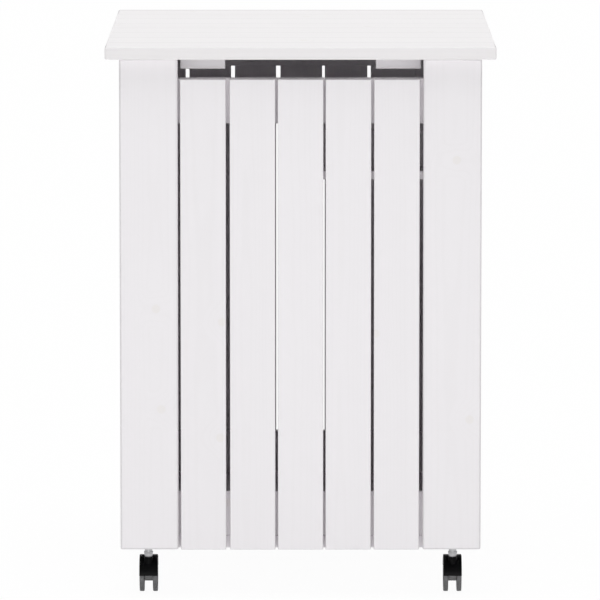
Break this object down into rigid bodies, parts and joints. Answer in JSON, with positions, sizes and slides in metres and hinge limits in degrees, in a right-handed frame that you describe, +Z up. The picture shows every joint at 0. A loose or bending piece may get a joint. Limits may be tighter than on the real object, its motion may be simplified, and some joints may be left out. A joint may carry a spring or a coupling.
{
  "type": "rolling pantry cart",
  "caption": "Slatted wooden kitchen storage cart on twin-wheel swivel casters, with a flat worktop, a shallow side drawer, a slatted door below it and a hand gap at one end.",
  "frame": {"origin": "on the floor, under the middle of the cart's outline", "axes": "+Z up; the slatted end with the hand gap faces -Y, and the drawer and the door are on the +X side"},
  "size_m": [0.5612, 0.7, 0.801],
  "materials": {
    "white_paint": "white satin paint over planed pine boards",
    "tabletop_paint": "white satin paint over an edge-glued pine top",
    "zinc_steel": "zinc-plated steel",
    "caster_plastic": "black moulded plastic, half gloss",
    "wheel_plastic": "dark grey moulded plastic, satin tread"
  },
  "bodies": {
    "carcass": {"bottom_board": "white_paint", "caster_stem_front_left": "zinc_steel", "caster_stem_front_right": "zinc_steel", "caster_stem_rear_left": "zinc_steel", "caster_stem_rear_right": "zinc_steel", "corner_post_front_left": "white_paint", "corner_post_front_right": "white_paint", "corner_post_rear_left": "white_paint", "corner_post_rear_right": "white_paint", "door_hinge_lower": "zinc_steel", "door_hinge_upper": "zinc_steel", "door_side_mid_rail": "white_paint", "door_side_top_rail": "white_paint", "drawer_shelf": "white_paint", "front_bottom_rail": "white_paint", "front_slat_1": "white_paint", "front_slat_2": "white_paint", "front_slat_3": "white_paint", "front_slat_4": "white_paint", "front_slat_5": "white_paint", "front_top_rail": "white_paint", "rear_bottom_rail": "white_paint", "rear_slat_1": "white_paint", "rear_slat_2": "white_paint", "rear_slat_3": "white_paint", "rear_slat_4": "white_paint", "rear_slat_5": "white_paint", "rear_top_rail": "white_paint", "side_bottom_rail": "white_paint", "side_slat_1": "white_paint", "side_slat_2": "white_paint", "side_slat_3": "white_paint", "side_slat_4": "white_paint", "side_slat_5": "white_paint", "side_slat_6": "white_paint", "side_top_rail": "white_paint", "tabletop": "tabletop_paint", "tabletop_cleat_left": "white_paint", "tabletop_cleat_right": "white_paint"},
    "drawer": {"drawer_front": "white_paint", "drawer_side_front": "white_paint", "drawer_side_rear": "white_paint", "drawer_back": "white_paint", "drawer_bottom": "white_paint"},
    "door": {"door_batten_lower": "white_paint", "door_batten_upper": "white_paint", "door_slat_1": "white_paint", "door_slat_2": "white_paint", "door_slat_3": "white_paint", "door_slat_4": "white_paint", "door_slat_5": "white_paint", "door_slat_6": "white_paint"},
    "swivel_front_left": {"caster_hood_front_left": "caster_plastic"},
    "wheels_front_left": {"caster_wheels_front_left": "wheel_plastic"},
    "swivel_front_right": {"caster_hood_front_right": "caster_plastic"},
    "wheels_front_right": {"caster_wheels_front_right": "wheel_plastic"},
    "swivel_rear_left": {"caster_hood_rear_left": "caster_plastic"},
    "wheels_rear_left": {"caster_wheels_rear_left": "wheel_plastic"},
    "swivel_rear_right": {"caster_hood_rear_right": "caster_plastic"},
    "wheels_rear_right": {"caster_wheels_rear_right": "wheel_plastic"}
  },
  "joints": [
    {"name": "drawer_slide", "type": "slide", "parent": "carcass", "child": "drawer", "axis": [1, 0, 0], "range_m": [0, 0.18]},
    {"name": "door_hinge", "type": "hinge", "parent": "carcass", "child": "door", "pos_m": [0.2516, 0.2298, 0.295], "axis": [0, 0, 1], "range_deg": [0, 100]},
    {"name": "swivel_front_left", "type": "hinge", "parent": "carcass", "child": "swivel_front_left", "pos_m": [-0.2211, -0.2905, 0.02525], "axis": [0, 0, 1], "continuous": true},
    {"name": "roll_front_left", "type": "hinge", "parent": "swivel_front_left", "child": "wheels_front_left", "pos_m": [-0.2211, -0.2745, 0.02525], "axis": [1, 0, 0], "continuous": true},
    {"name": "swivel_front_right", "type": "hinge", "parent": "carcass", "child": "swivel_front_right", "pos_m": [0.2211, -0.2905, 0.02525], "axis": [0, 0, 1], "continuous": true},
    {"name": "roll_front_right", "type": "hinge", "parent": "swivel_front_right", "child": "wheels_front_right", "pos_m": [0.2211, -0.2745, 0.02525], "axis": [1, 0, 0], "continuous": true},
    {"name": "swivel_rear_left", "type": "hinge", "parent": "carcass", "child": "swivel_rear_left", "pos_m": [-0.2211, 0.2905, 0.02525], "axis": [0, 0, 1], "continuous": true},
    {"name": "roll_rear_left", "type": "hinge", "parent": "swivel_rear_left", "child": "wheels_rear_left", "pos_m": [-0.2211, 0.3065, 0.02525], "axis": [1, 0, 0], "continuous": true},
    {"name": "swivel_rear_right", "type": "hinge", "parent": "carcass", "child": "swivel_rear_right", "pos_m": [0.2211, 0.2905, 0.02525], "axis": [0, 0, 1], "continuous": true},
    {"name": "roll_rear_right", "type": "hinge", "parent": "swivel_rear_right", "child": "wheels_rear_right", "pos_m": [0.2211, 0.3065, 0.02525], "axis": [1, 0, 0], "continuous": true}
  ]
}
